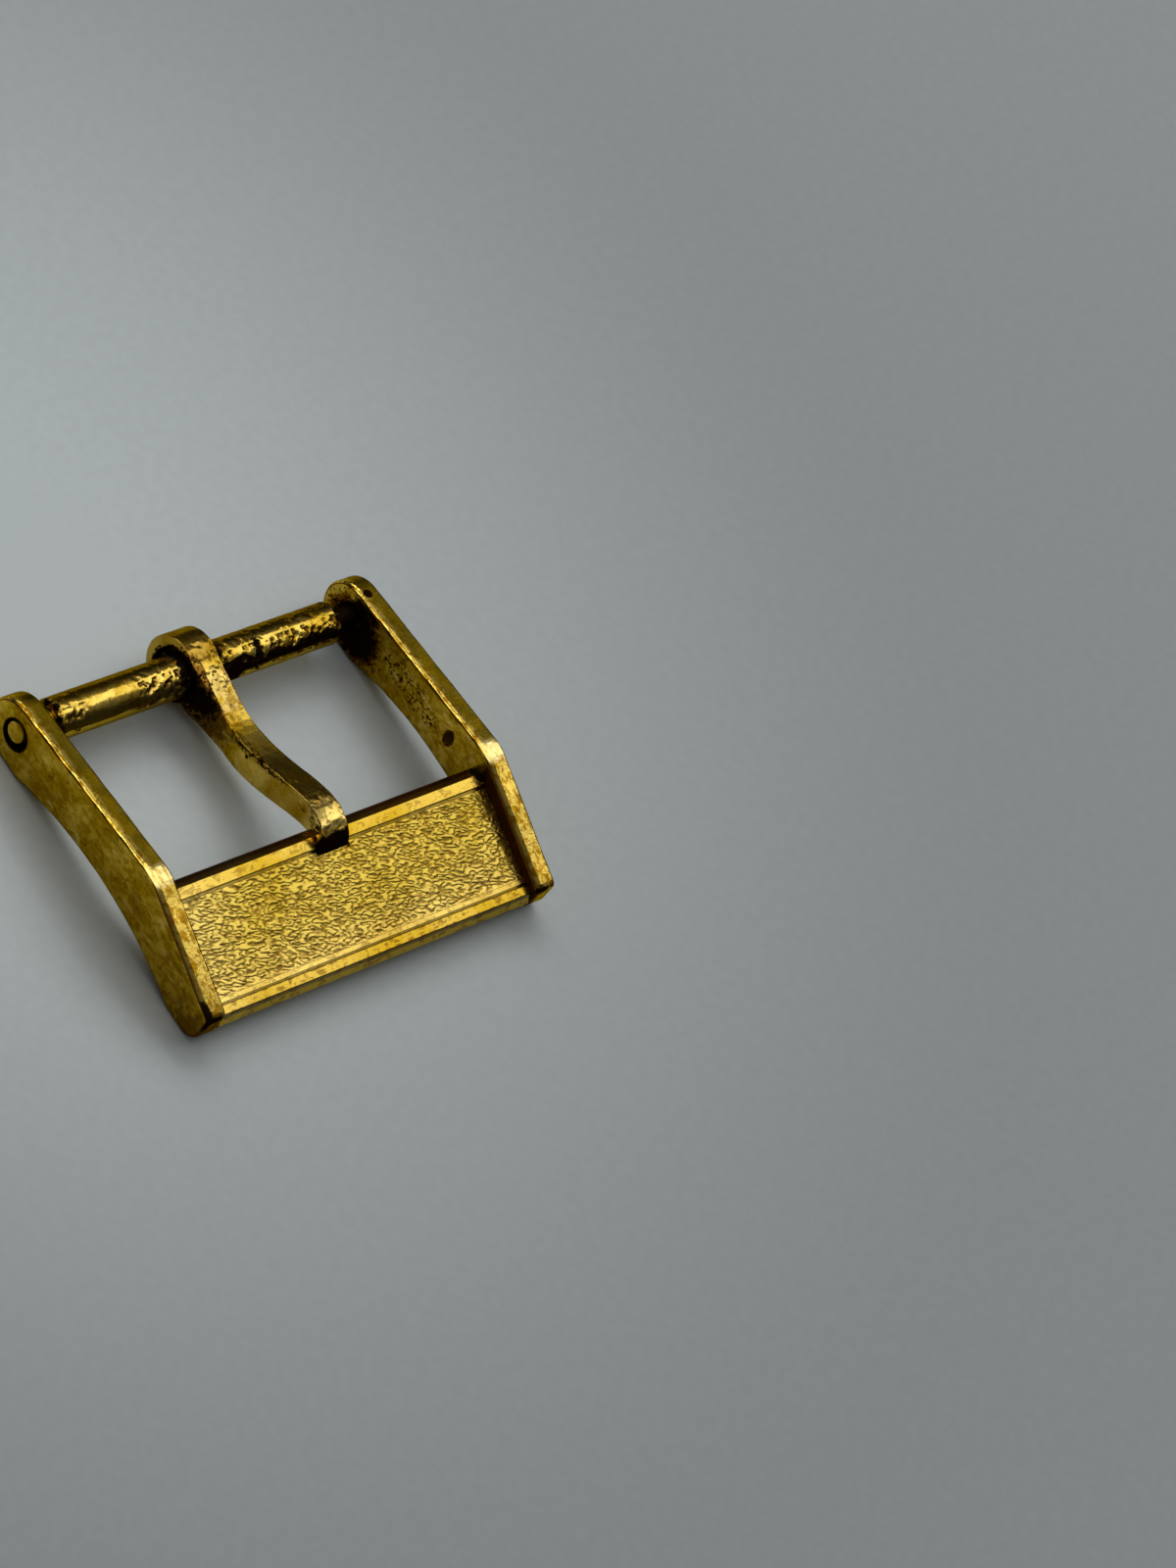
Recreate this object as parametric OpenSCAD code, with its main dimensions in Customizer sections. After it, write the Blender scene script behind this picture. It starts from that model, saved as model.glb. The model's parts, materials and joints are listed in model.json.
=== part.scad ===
// Tang buckle for a 16 mm watch strap: two cheeks, a front plate between them,
// a tongue, and a sprung strap bar that the tongue and the strap's loop turn on.
// X runs along the strap bar, -Y is the front, and Z = 0 is what the buckle lies on.

/* [Strap] */
// Width between the cheeks, which is the width of the strap
strap_w = 16; // [14:0.5:20]

/* [Cheeks] */
// Thickness of a cheek
cheek_t = 0.95; // [0.8:0.05:1.3]
// From the strap bar's axis to the flat front face
front_reach = 13.2; // [12.4:0.1:15]
// Radius of the round ear at the rear end
ear_r = 1.32; // [1.25:0.01:1.5]
// How far the ear's centre lies behind the bar's axis
ear_back = 0.13; // [0:0.01:0.2]
// From the bar's axis forward to the bend in the top edge
bend_reach = 7.9; // [7.4:0.1:8.3]
// How steeply the top edge rises from the ear to the bend
rise_deg = 5.9; // [4:0.1:8]
// How steeply the top edge falls from the bend to the nose
fall_deg = 19.5; // [18:0.1:22]
// Length of the nose that turns the top edge into the front face
nose_l = 0.55; // [0.3:0.05:0.8]
// Height that the nose drops over that length
nose_drop = 0.4; // [0.2:0.05:0.6]
// Radius of the lower front corner
toe_r = 0.72; // [0.4:0.02:0.8]
// Length of the flat foot behind the lower front corner
toe_l = 0.98; // [0.6:0.02:1.4]
// Length of the flat foot in front of the ear's centre
heel_l = 1.23; // [0.8:0.01:1.6]
// Height of the arch under a cheek
arch_h = 0.88; // [0.4:0.02:1]
// Width of the small flat cut along each top edge
edge_cut = 0.12; // [0.05:0.01:0.2]

/* [Front plate] */
// From the bar's axis to the rear edge of the rear ridge
plate_reach = 8.33; // [8:0.01:8.7]
// Height of the rear ridge's rear edge
plate_h = 2.6; // [2.4:0.02:2.8]
// Length of the plate's top, from the rear ridge to the front ridge
plate_l = 4.78; // [4.5:0.02:4.9]
// Slope of the plate
plate_deg = 16.9; // [15:0.1:18]
// Thickness of the plate
plate_t = 1.06; // [0.9:0.02:1.2]
// Width of each polished ridge
ridge_w = 0.44; // [0.3:0.02:0.6]
// Width of the groove between the rear ridge and the field
rear_groove_w = 0.12; // [0.06:0.02:0.2]
// Width of the groove between the front ridge and the ledge
front_groove_w = 0.08; // [0.04:0.02:0.2]
// Depth of both grooves below the ridges
groove_d = 0.12; // [0.08:0.01:0.2]
// Width of the thin ledge in front of the field
ledge_w = 0.13; // [0.06:0.01:0.25]
// How far the ledge lies below the ridges
ledge_sink = 0.02; // [0:0.01:0.04]
// How far the grained field lies below the ridges
field_sink = 0.06; // [0.05:0.01:0.07]
// Length of the bevel behind the rear ridge
bevel_l = 0.36; // [0.2:0.02:0.5]
// Depth of that bevel
bevel_d = 0.42; // [0.2:0.02:0.5]
// Height that the plate's front edge drops to the front face
brow_drop = 0.3; // [0.15:0.05:0.4]
// Height of the plate's underside above the table at the front
plate_foot = 0.17; // [0.1:0.01:0.3]
// Radius of the plate's lower front edge
plate_toe_r = 0.7; // [0.4:0.02:0.75]

/* [Tongue] */
// Radius of the eye, outside
eye_r = 1.35; // [1.3:0.01:1.4]
// How far the eye's centre lies behind the bar's axis
eye_back = 0.34; // [0.3:0.01:0.4]
// Height of the eye's lowest point above the table
eye_foot = 0.04; // [0.03:0.01:0.1]
// Width of the eye along the bar
eye_w = 1.35; // [1.2:0.05:1.7]
// How far the eye sits towards the left cheek
eye_shift = 0.26; // [0:0.02:0.3]
// Radius of the hole that turns on the bar
eye_hole_r = 1.08; // [1.06:0.01:1.1]
// How far that hole's centre lies behind the bar's axis
hole_back = 0.14; // [0.08:0.01:0.15]
// How far that hole's centre lies below the bar's axis
hole_drop = 0.1; // [0.05:0.01:0.12]
// Width of the tongue's stem
stem_w = 1.1; // [1:0.05:1.3]
// How far the stem sits towards the left cheek behind the dip
stem_shift = 0.06; // [0:0.02:0.2]
// Width of the tongue's tip
tip_w = 1.26; // [1.2:0.02:1.5]
// How far the tip reaches over the plate from the rear ridge's rear edge
tip_reach = 0.72; // [0.6:0.02:0.9]
// Height of the knuckle above the rear ridge
knuckle_h = 0.84; // [0.6:0.02:1]
// Depth of the notch in the rear ridge that the tip lies in
notch_d = 0.2; // [0.12:0.02:0.3]
// Room beside the tip in the notch, on each side
notch_side = 0.07; // [0.04:0.01:0.15]
// Room under the tip
tip_gap = 0.04; // [0.03:0.01:0.08]

/* [Strap bar] */
// Height of the bar's axis above the table
bar_h = 1.45; // [1.4:0.01:1.5]
// Diameter of the bar's tube
bar_d = 1.7; // [1.6:0.02:1.76]
// How much shorter the tube is than the gap between the cheeks
bar_play = 1.8; // [1.4:0.1:2.2]
// How far the tube sits towards the left cheek
bar_shift = 0.2; // [0:0.05:0.3]
// Wall of the tube
tube_wall = 0.25; // [0.2:0.01:0.3]
// Thickness of the turned-in end of the tube
end_wall = 0.25; // [0.2:0.01:0.35]
// Diameter of a pivot's tip
tip_d = 0.88; // [0.8:0.02:1]
// Length of a pivot's tip outside the tube
tip_l = 1.6; // [1.5:0.05:1.6]
// Length of a pivot's head inside the tube
head_l = 1.4; // [1:0.1:2]
// Room between a pivot and the tube, on the radius
slide_gap = 0.03; // [0.02:0.01:0.05]
// Diameter of the hole in each ear
ear_hole_d = 1.22; // [1.16:0.02:1.3]
// How far the pull of the strap holds the bar behind the ear hole's centre
pull = 0.1; // [0:0.01:0.11]

/* [Inner spring] */
// Number of turns of the spring inside the tube
spring_turns = 16; // [12:1:20]
// Diameter of the spring's wire
wire_d = 0.16; // [0.12:0.02:0.2]
// Room between the spring and the tube, on the radius
spring_gap = 0.05; // [0.03:0.01:0.08]
// Room between each end of the spring and a pivot's head
seat_gap = 0.02; // [0.01:0.01:0.04]

/* [Hidden] */
$fn = 64;
over = 1;

// The origin is under the middle of the buckle's box, so the bar's axis lies at bar_y.
eye_z = eye_foot + eye_r;
rear_reach = max(eye_back + eye_r, ear_back + ear_r);
bar_y = (front_reach - rear_reach) / 2;

// Top edge of a cheek, as [distance behind the bar's axis, height]
ear_c = [ear_back, ear_r];
ear_top = ear_c + ear_r * [sin(rise_deg), cos(rise_deg)];
bend = [-bend_reach, ear_top[1] + (ear_top[0] + bend_reach) * tan(rise_deg)];
nose_y = -front_reach + nose_l;
nose = [nose_y, bend[1] - (bend[0] - nose_y) * tan(fall_deg)];
arch_front = toe_r + toe_l - front_reach;
arch_rear = ear_back - heel_l;
arch_half = (arch_rear - arch_front) / 2;
arch_r = (arch_half * arch_half + arch_h * arch_h) / (2 * arch_h);

// A point of the plate: how far down its slope from the rear ridge, and how far above its top
function on_plate(down, up) = [-plate_reach - down * cos(plate_deg) - up * sin(plate_deg),
                               plate_h - down * sin(plate_deg) + up * cos(plate_deg)];
function arc(c, r, a0, a1, n) = [for (i = [0 : n]) c + r * [cos(a0 + (a1 - a0) * i / n),
                                                          sin(a0 + (a1 - a0) * i / n)]];
// A cubic curve through p[0] and p[3], drawn towards p[1] and p[2]
function curve(p, n) = [for (i = [0 : n]) let (t = i / n)
    pow(1 - t, 3) * p[0] + 3 * pow(1 - t, 2) * t * p[1] + 3 * (1 - t) * t * t * p[2] + pow(t, 3) * p[3]];

bar_l = strap_w - bar_play;
bar_r = bar_d / 2;
tip_r = tip_d / 2;
bore_r = bar_r - tube_wall;
head_r = bore_r - slide_gap;
tube_left = -bar_l / 2 - bar_shift;
tube_right = bar_l / 2 - bar_shift;
spring_left = tube_left + end_wall + slide_gap + head_l + seat_gap;
spring_right = tube_right - end_wall - slide_gap - head_l - seat_gap;

// Draws an outline in the Y and Z of the buckle, as thick along X as w
module across(x, w) {
    translate([x - w / 2, bar_y, 0]) rotate([90, 0, 90]) linear_extrude(w) children();
}

// A round rod along X, from x0 to x1, on the bar's axis or beside it
module rod(x0, x1, r, back = 0, z = bar_h) {
    translate([x0, bar_y + back, z]) rotate([0, 90, 0]) cylinder(h = x1 - x0, r = r);
}

module cheek_outline() {
    arch_c = [arch_front + arch_half, arch_h - arch_r];
    arch_turn = asin(arch_half / arch_r);
    polygon(concat(arc(ear_c, ear_r, -90, 90 - rise_deg, 20),
                   [bend, nose, [-front_reach, nose[1] - nose_drop]],
                   arc([toe_r - front_reach, toe_r], toe_r, 180, 270, 8),
                   arc(arch_c, arch_r, 90 + arch_turn, 90 - arch_turn, 16)));
}

// Takes the flat off the top edge of a cheek that runs from point a back to point b.
// side is -1 where the flat faces left and 1 where it faces right. The cut runs on past
// both points, where the outline falls away below it.
module edge_flat(x, side, a, b) {
    run = b - a;
    translate([x, bar_y + (a[0] + b[0]) / 2, (a[1] + b[1]) / 2])
        rotate([atan2(run[1], run[0]), 0, 0])
            rotate([0, 45 * side, 0])
                translate([-over, -norm(run) / 2 - over, -edge_cut / sqrt(2)])
                    cube([2 * over, norm(run) + 2 * over, over]);
}

// One cheek with its ear hole; side is -1 for the left one and 1 for the right one
module cheek(side) {
    inner = side * strap_w / 2;
    outer = side * (strap_w / 2 + cheek_t);
    difference() {
        across((inner + outer) / 2, cheek_t) cheek_outline();
        rod(min(inner, outer) - over, max(inner, outer) + over, ear_hole_d / 2, -pull);
        for (face = [[inner, -side], [outer, side]]) {
            edge_flat(face[0], face[1], bend, ear_top);
            edge_flat(face[0], face[1], nose, bend);
        }
    }
}

module left_cheek() {
    color("gold") cheek(-1);
}

module right_cheek() {
    color("gold") cheek(1);
}

module plate_outline() {
    field_from = ridge_w + rear_groove_w;
    ridge_from = plate_l - ridge_w;
    ledge_to = ridge_from - front_groove_w;
    ledge_from = ledge_to - ledge_w;
    brow = on_plate(plate_l, 0);
    polygon(concat([on_plate(-bevel_l, -plate_t), on_plate(-bevel_l, -bevel_d), on_plate(0, 0),
                    on_plate(ridge_w, 0), on_plate(ridge_w, -groove_d),
                    on_plate(field_from, -groove_d), on_plate(field_from, -field_sink),
                    on_plate(ledge_from, -field_sink), on_plate(ledge_from, -ledge_sink),
                    on_plate(ledge_to, -ledge_sink), on_plate(ledge_to, -groove_d),
                    on_plate(ridge_from, -groove_d), on_plate(ridge_from, 0), brow,
                    [-front_reach, brow[1] - brow_drop]],
                   arc([plate_toe_r - front_reach, plate_foot + plate_toe_r], plate_toe_r, 180, 270, 8)));
}

// The plate between the cheeks, with the notch that the tongue's tip lies in
module front_plate() {
    color("goldenrod") difference() {
        across(0, strap_w) plate_outline();
        across(0, tip_w + 2 * notch_side)
            polygon([on_plate(-bevel_l - over, -notch_d), on_plate(tip_reach + notch_side, -notch_d),
                     on_plate(tip_reach + notch_side, over), on_plate(-bevel_l - over, over)]);
    }
}

// Side outline of the tongue's stem, from inside the eye to the hooked tip
module stem_outline() {
    root = eye_back - eye_r;
    ridge = on_plate(0, 0);
    knuckle = ridge + [0.6, knuckle_h];
    dip = [root - 2.1, bar_h + 0.58];
    belly = [root - 2.6, bar_h - 0.56];
    tip_front = on_plate(tip_reach, tip_gap + 0.25 - notch_d);
    tip_low = on_plate(tip_reach - 0.05, tip_gap - notch_d);
    tip_rear = on_plate(-0.1, tip_gap - notch_d);
    neck = [eye_back - 0.6, eye_z + sqrt(eye_r * eye_r - 0.36)];
    throat = [root + 0.22, eye_z - sqrt(eye_r * eye_r - pow(eye_r - 0.22, 2))];
    polygon(concat([[eye_back, eye_z]],
                   curve([neck, neck - [0.9, 0.3], dip + [0.9, 0.02], dip], 10),
                   curve([dip, dip - [1.65, 0.05], knuckle + [1.3, -0.07], knuckle], 12),
                   curve([knuckle, knuckle - [0.5, -0.04], tip_front + [0.1, 0.55], tip_front], 8),
                   [tip_low, tip_rear],
                   curve([tip_rear, tip_rear + [1.3, -0.1], belly - [1.9, -0.15], belly], 12),
                   curve([belly, belly + [0.9, -0.02], throat - [0.5, 0.35], throat], 8)));
}

// The tongue seen from above: it narrows from the eye and widens to its tip, a little askew
module tongue_plan() {
    neck_y = eye_back - eye_r - 0.8;
    tip_y = on_plate(tip_reach, 0)[0] - over;
    polygon([[eye_w / 2 - eye_shift, eye_back], [stem_w / 2 - stem_shift, neck_y],
             [tip_w / 2, -plate_reach], [tip_w / 2, tip_y],
             [-tip_w / 2, tip_y], [-tip_w / 2, -plate_reach],
             [-stem_w / 2 - stem_shift, neck_y], [-eye_w / 2 - eye_shift, eye_back]]);
}

// The tongue: an eye round the bar, and a stem with a hooked tip
module tongue() {
    eye_left = -eye_w / 2 - eye_shift;
    color("goldenrod") difference() {
        union() {
            rod(eye_left, eye_left + eye_w, eye_r, eye_back, eye_z);
            intersection() {
                across(0, 2 * max(eye_w, tip_w)) stem_outline();
                translate([0, bar_y, 0]) linear_extrude(plate_h + knuckle_h + over) tongue_plan();
            }
        }
        rod(eye_left - over, eye_left + eye_w + over, eye_hole_r, hole_back, bar_h - hole_drop);
    }
}

// The bar's tube, closed at each end down to the pivot's hole
module bar_tube() {
    color("gold") difference() {
        rod(tube_left, tube_right, bar_r);
        rod(tube_left + end_wall, tube_right - end_wall, bore_r);
        rod(tube_left - over, tube_right + over, tip_r + slide_gap);
    }
}

// One sprung pivot, drawn from the tube's left end; its tip points left
module pivot_at_left() {
    head_from = tube_left + end_wall + slide_gap;
    rod(tube_left - tip_l, head_from + head_l / 2, tip_r);
    rod(head_from, head_from + head_l, head_r);
}

module left_pivot() {
    color("darkgoldenrod") pivot_at_left();
}

module right_pivot() {
    color("darkgoldenrod") translate([-2 * bar_shift, 0, 0]) mirror([1, 0, 0]) pivot_at_left();
}

// The coil spring in the tube: a tube of 6 sides swept along a helix
module bar_spring() {
    sides = 6;
    per_turn = 14;
    rings = spring_turns * per_turn;
    wire_r = wire_d / 2;
    coil_r = bore_r - spring_gap - wire_r;
    rise = spring_right - spring_left - wire_d;
    lead = atan2(rise / spring_turns, 2 * PI * coil_r);
    points = [for (i = [0 : rings], j = [0 : sides - 1])
        let (turn = 360 * i / per_turn, a = 360 * j / sides,
             out = coil_r + wire_r * cos(a), along = wire_r * sin(a))
        [spring_left + wire_r + rise * i / rings + along * cos(lead),
         out * cos(turn) + along * sin(lead) * sin(turn),
         out * sin(turn) - along * sin(lead) * cos(turn)]];
    walls = [for (i = [0 : rings - 1], j = [0 : sides - 1])
        let (a = i * sides + j, b = i * sides + (j + 1) % sides)
        each [[a, a + sides, b], [b, a + sides, b + sides]]];
    caps = [[for (j = [0 : sides - 1]) j], [for (j = [sides - 1 : -1 : 0]) rings * sides + j]];
    color("dimgray") translate([0, bar_y, bar_h])
        polyhedron(points = points, faces = concat(walls, caps));
}

left_cheek();
right_cheek();
front_plate();
tongue();
bar_tube();
left_pivot();
right_pivot();
bar_spring();
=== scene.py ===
# A worn, gold-plated tang buckle for a watch strap. The pieces are modelled in millimetres,
# at their own places, and each is shrunk to metres when it is done.
import json
from math import atan2, cos, degrees, hypot, pi, radians, sin, sqrt, tan

import bpy
from mathutils import Matrix, Vector


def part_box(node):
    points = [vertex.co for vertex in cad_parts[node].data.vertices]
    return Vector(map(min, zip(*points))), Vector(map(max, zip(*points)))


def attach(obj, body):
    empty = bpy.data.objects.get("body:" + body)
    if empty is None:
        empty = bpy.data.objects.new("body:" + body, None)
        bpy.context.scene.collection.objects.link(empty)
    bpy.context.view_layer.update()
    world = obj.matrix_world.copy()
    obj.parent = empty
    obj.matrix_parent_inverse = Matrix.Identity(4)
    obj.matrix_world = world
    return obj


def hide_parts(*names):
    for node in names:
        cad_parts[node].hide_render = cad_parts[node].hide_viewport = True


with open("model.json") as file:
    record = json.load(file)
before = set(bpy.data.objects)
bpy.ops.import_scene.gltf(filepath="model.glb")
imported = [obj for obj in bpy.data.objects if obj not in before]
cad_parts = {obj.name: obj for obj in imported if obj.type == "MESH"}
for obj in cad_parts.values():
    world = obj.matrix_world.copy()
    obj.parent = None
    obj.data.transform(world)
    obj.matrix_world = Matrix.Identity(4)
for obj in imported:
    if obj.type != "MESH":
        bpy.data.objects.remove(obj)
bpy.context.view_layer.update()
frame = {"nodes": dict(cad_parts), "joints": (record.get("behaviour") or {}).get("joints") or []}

MM = 0.001


def millimetres(node):
    low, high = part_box(node)
    return low / MM, high / MM


# Sizes from the frame
hinge = next(j for j in frame["joints"] if j["name"] == "tongue_hinge")
BAR_Y = hinge["pos_m"][1] / MM
BAR_Z = hinge["pos_m"][2] / MM
CHEEK_LOW, CHEEK_HIGH = millimetres("right_cheek")
PLATE_LOW, PLATE_HIGH = millimetres("front_plate")
CHEEK_EDGE = millimetres("left_cheek")[0].x
TUBE_LOW, TUBE_HIGH = millimetres("bar_tube")
PIVOT_LOW = millimetres("left_pivot")[0]
PIVOT_HIGH = millimetres("right_pivot")[1]
STRAP_W = PLATE_HIGH.x - PLATE_LOW.x
INNER_X = STRAP_W / 2
FRONT_REACH = BAR_Y - CHEEK_LOW.y
FRONT_Y = BAR_Y - FRONT_REACH

# Cheeks
EAR_R = 1.32
EAR_BACK = 0.13
EAR_HOLE_R = 0.61
HOLE_FORWARD = 0.1
RISE = 5.9
FALL = 19.5
BEND_REACH = 7.9
BEND_Y = BAR_Y - BEND_REACH
BEND_L = 0.5
BEND_LIFT = (0.005, 0.03)  # rounds the bend between its two ends
NOSE_L = 0.42
NOSE_DROP = 0.34
NOSE_EASE = (0.24, 0.085)
NOSE_TURN = 0.12
TOE_R = 0.72
TOE_L = 0.98
HEEL_L = 1.23
ARCH_H = 0.88
EDGE_R = 0.2
FAR_EDGE_R = 0.13
SHAVE_W = 0.5
SHAVE_REAR = 1.0
SHAVE_FRONT = 0.65
WAVE_STEP = 0.16
WAVE_SIZE = 1.1
WAVE_H = 0.03
STILL_H = 0.4  # the waves fade out below this height
DIMPLE_AT = (INNER_X, BAR_Y - 6.4, 2.22)  # a dent in the right cheek's inner face
DIMPLE_RADII = (0.12, 0.26, 0.4)
SPOT_AT = (INNER_X + 0.36, BAR_Y + 0.1)  # a small dent on the ear's top
SPOT_TOP = 2.72
SPOT_RADII = (0.17, 0.2, 0.1)
SPOT_DIRT_Z = 2.7

# Front plate
PLATE_REACH = 8.33
PLATE_Y = BAR_Y - PLATE_REACH
PLATE_H = 2.6
PLATE_L = 4.9
PLATE_SLOPE = 16.9
PLATE_T = 1.06
RIDGE_W = 0.44
FRONT_RIDGE_W = 0.38
REAR_GROOVE_W = 0.12
FRONT_GROOVE_W = 0.08
GROOVE_D = 0.12
GROOVE_SLANT = 0.01
BROW_CURVE = ((0.01, 0.04), (0.03, 0.12))
LEDGE_W = 0.19
LEDGE_SINK = 0.02
FIELD_SINK = 0.06
FIELD_FROM = RIDGE_W + REAR_GROOVE_W
RIDGE_FROM = PLATE_L - FRONT_RIDGE_W
LEDGE_TO = RIDGE_FROM - FRONT_GROOVE_W
LEDGE_FROM = LEDGE_TO - LEDGE_W
BEVEL_L = 0.36
BEVEL_D = 0.42
TOE_TURN = 12
PLATE_FOOT = 0.17
PLATE_TOE_R = 0.7
NOTCH_D = 0.2
NOTCH_W = 1.56
NOTCH_L = 0.79
GRAIN_STEP = (0.038, 0.026)
GRAIN_H = 0.010
GRAIN_SIZE = 0.115
GRAIN_STRETCH = (2.6, 1.1, 1.1)
GRAIN_TURN = -16
GRAIN_TOP = 0.8  # the share of the grain's height that lies under the field
GRAIN_FADE = 0.09
SWELL_SIZE = 0.8
SWELL_H = 0.03

# Tongue
EYE_R = 1.35
EYE_BACK = 0.34
EYE_Z = 1.39
EYE_W = 1.35
EYE_SHIFT = 0.26
EYE_HOLE_R = 1.08
HOLE_BACK = 0.14
HOLE_DROP = 0.1
STEM_W = 1.1
STEM_SHIFT = 0.06
TIP_W = 1.26
TIP_REACH = 0.72
TIP_GAP = 0.04
KNUCKLE_H = 0.84
KNUCKLE_BACK = 0.66
DIP = (1.5, 0.61)
BELLY = (2.6, 0.56)
TIP_T = 0.25
TIP_SLANT = 0.05
TIP_OVER = 0.1
NECK_FORE = 0.6
THROAT_BACK = 0.22
STEM_FROM = 0.8
SCAR_FROM = -2.8
SCAR_TO = -6.4
VOXEL = 0.03
LUMP_H = 0.09
TEAR_D = 0.006
LUMP_PRESS = 0.05  # how deep a point lies where its stain is full

# Strap bar
BAR_R = 0.85
TIP_R = 0.44
HEAD_R = 0.57
BORE_R = 0.6
HEAD_L = 1.4
END_WALL = 0.25
SLIDE_GAP = 0.03
SMOOTH_FROM = -6.3
SMOOTH_TO = -3.4
RIM = 0.12
RING_STEP = 0.05
PIT_D = 0.04
PIT_PRESS = 0.03  # as LUMP_PRESS
DINT_H = 0.04
TUBE_STEPS = 112
PIVOT_STEPS = 64


# Modelling helpers

def deselect():
    if bpy.context.object and bpy.context.object.mode == "EDIT":
        bpy.ops.object.mode_set(mode="OBJECT")
    bpy.ops.object.select_all(action="DESELECT")


def one_vertex(place):
    """A new mesh of one vertex, in edit mode."""
    deselect()
    bpy.ops.mesh.primitive_plane_add(size=1, enter_editmode=True)
    bpy.ops.mesh.select_mode(type="VERT")
    bpy.ops.mesh.select_all(action="SELECT")
    bpy.ops.mesh.merge(type="CENTER")
    bpy.ops.transform.translate(value=place)
    return bpy.context.object


def extrude_along(points):
    """Extrudes the selected vertex from the first point through the others."""
    for last, now in zip(points, points[1:]):
        step = Vector(now) - Vector(last)
        bpy.ops.mesh.extrude_vertices_move(TRANSFORM_OT_translate={"value": step})


class Outline:
    """One vertex, extruded from point to point. A point is (distance behind the bar's axis, height)."""

    def __init__(self, x, start):
        self.thing = one_vertex((x, BAR_Y + start[0], start[1]))
        self.at = Vector(start)

    def line(self, *points):
        extrude_along([(0, *self.at)] + [(0, *point) for point in points])
        self.at = Vector(points[-1])

    def arc(self, centre, turn, steps):
        """Turns anticlockwise where turn is over 0, seen with the rear on the right."""
        bpy.ops.mesh.spin(steps=steps, dupli=False, angle=-radians(turn),
                          center=(0, BAR_Y + centre[0], centre[1]), axis=(1, 0, 0))
        out = self.at - Vector(centre)
        c, s = cos(radians(turn)), sin(radians(turn))
        self.at = Vector(centre) + Vector((c * out.x - s * out.y, s * out.x + c * out.y))

    def close(self):
        bpy.ops.mesh.select_all(action="SELECT")
        bpy.ops.mesh.remove_doubles(threshold=0.0005)
        bpy.ops.mesh.edge_face_add()
        return self.thing


def curve(p0, p1, p2, p3, steps):
    """Points of a cubic curve from p0 to p3, drawn towards p1 and p2, without the first one."""
    p0, p1, p2, p3 = (Vector(p) for p in (p0, p1, p2, p3))
    shares = [i / steps for i in range(1, steps + 1)]
    return [(1 - t) ** 3 * p0 + 3 * (1 - t) ** 2 * t * p1 + 3 * (1 - t) * t * t * p2 + t ** 3 * p3
            for t in shares]


def thicken(width):
    """Extrudes the selected face along X and turns all faces outwards."""
    bpy.ops.mesh.extrude_region_move(TRANSFORM_OT_translate={"value": (width, 0, 0)})
    bpy.ops.mesh.select_all(action="SELECT")
    bpy.ops.mesh.normals_make_consistent(inside=False)
    bpy.ops.object.mode_set(mode="OBJECT")


def pick(thing, kind, test):
    """Leaves the object in edit mode with each vertex or face selected whose points pass the test."""
    bpy.context.view_layer.objects.active = thing
    bpy.ops.object.mode_set(mode="EDIT")
    bpy.ops.mesh.select_mode(type={"vertices": "VERT", "polygons": "FACE"}[kind])
    bpy.ops.mesh.select_all(action="DESELECT")
    bpy.ops.object.mode_set(mode="OBJECT")
    vertices = thing.data.vertices
    if kind == "vertices":
        for vertex in vertices:
            vertex.select = test(vertex.co)
    else:
        for face in thing.data.polygons:
            face.select = all(test(vertices[i].co) for i in face.vertices)
    bpy.ops.object.mode_set(mode="EDIT")


def cut_across(thing, axis, start, stop, step):
    """Cuts the mesh with planes square to an axis, at even steps."""
    bpy.context.view_layer.objects.active = thing
    bpy.ops.object.mode_set(mode="EDIT")
    count = int((stop - start) / step)
    for i in range(1, count + 1):
        place = Vector((0, 0, 0))
        place[axis] = start + i * step
        normal = Vector((0, 0, 0))
        normal[axis] = 1
        bpy.ops.mesh.select_all(action="SELECT")
        bpy.ops.mesh.bisect(plane_co=place, plane_no=normal)
    bpy.ops.object.mode_set(mode="OBJECT")


def modify(thing, kind, **settings):
    """Adds a modifier, sets it and applies it."""
    deselect()
    thing.select_set(True)
    bpy.context.view_layer.objects.active = thing
    modifier = thing.modifiers.new(kind.lower(), kind)
    for key, value in settings.items():
        setattr(modifier, key, value)
    bpy.ops.object.modifier_apply(modifier=modifier.name)


def cut_with(thing, cutter, operation="DIFFERENCE"):
    modify(thing, "BOOLEAN", object=cutter, operation=operation, solver="EXACT")
    bpy.data.objects.remove(cutter)


def rod(reach, radius, back, z):
    """A round rod along X, to cut with, that reaches as far to the left as to the right."""
    deselect()
    bpy.ops.mesh.primitive_cylinder_add(vertices=96, radius=radius, depth=2 * reach,
                                        location=(0, BAR_Y + back, z), rotation=(0, radians(90), 0))
    return bpy.context.object


def weigh(thing, name, weight):
    """A vertex group with a weight for each point, where weight(point) is over 0."""
    group = thing.vertex_groups.new(name=name)
    for vertex in thing.data.vertices:
        share = weight(vertex.co)
        if share > 0:
            group.add([vertex.index], min(share, 1.0), "REPLACE")
    return group.name


def pattern(name, size, depth=0, stops=None):
    """A cloudy texture to displace with. stops turns its value to another, as (value, height)."""
    made = bpy.data.textures.new(name, "CLOUDS")
    made.noise_scale = size
    made.noise_depth = depth
    made.noise_basis = "ORIGINAL_PERLIN"
    if stops:
        made.use_color_ramp = True
        ramp = made.color_ramp
        while len(ramp.elements) < len(stops):
            ramp.elements.new(0.5)
        for element, (place, height) in zip(ramp.elements, stops):
            element.position = place
            element.color = (height, height, height, 1)
    return made


def emboss(thing, texture, height, group="", mid=0.5, frame_object=None):
    settings = {"texture": texture, "strength": height, "mid_level": mid, "direction": "NORMAL",
                "vertex_group": group}
    if frame_object:
        settings.update(texture_coords="OBJECT", texture_coords_object=frame_object)
    modify(thing, "DISPLACE", **settings)


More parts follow.
